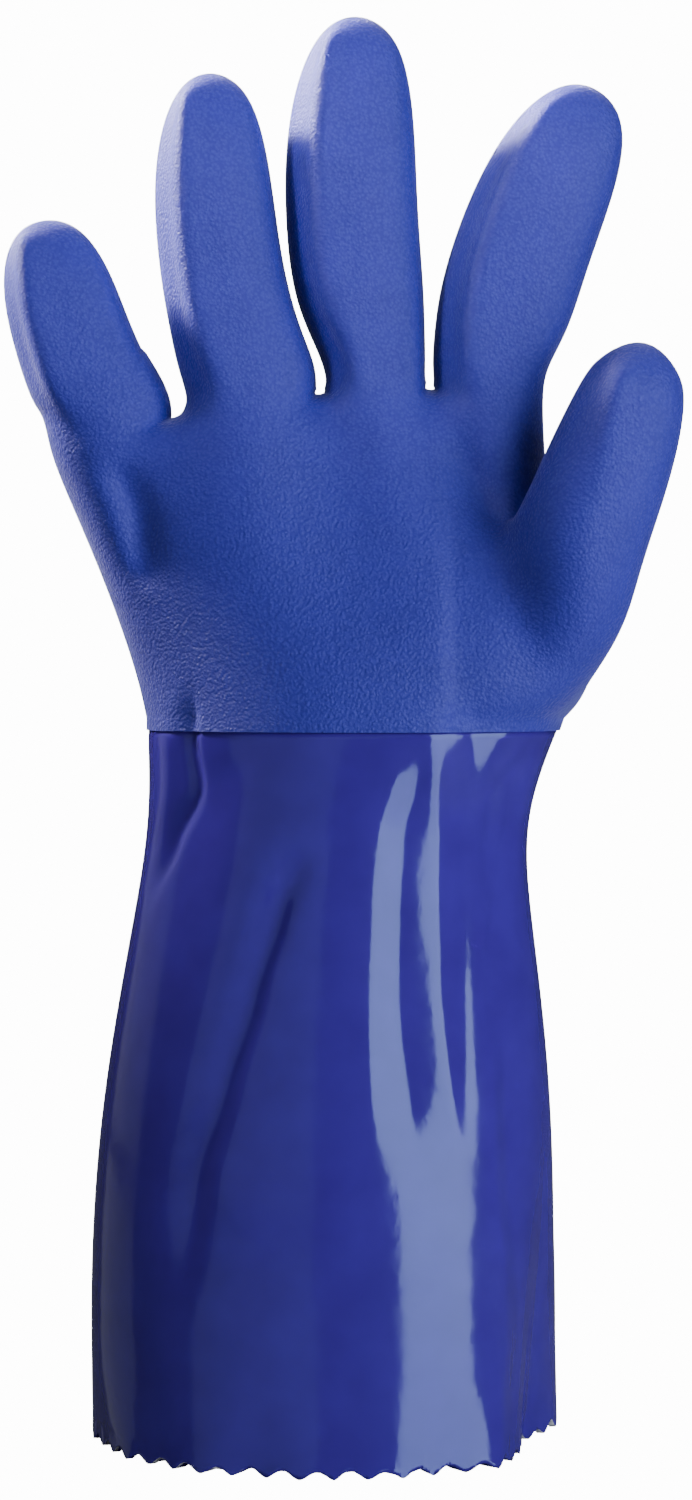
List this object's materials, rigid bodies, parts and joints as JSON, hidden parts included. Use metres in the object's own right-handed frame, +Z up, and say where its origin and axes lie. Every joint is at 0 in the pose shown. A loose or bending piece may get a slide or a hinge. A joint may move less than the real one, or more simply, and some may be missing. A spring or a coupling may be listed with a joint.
{
  "type": "pvc coated work glove",
  "caption": "Long hollow right-hand work glove that stands on its pinked hem: a rough coated hand with spread fingers on a smooth flared gauntlet.",
  "frame": {"origin": "centre of the glove's outline, on the surface that its hem stands on", "axes": "+Z up, along the glove to the fingertips; the palm faces -Y; the thumb is towards +X"},
  "size_m": [0.1636, 0.0968, 0.348],
  "materials": {
    "smooth_pvc": "glossy, saturated blue, seamless",
    "rough_pvc": "matte blue with a fine rough grain"
  },
  "bodies": {
    "root": {"gauntlet": "smooth_pvc", "hand": "rough_pvc"}
  },
  "joints": []
}
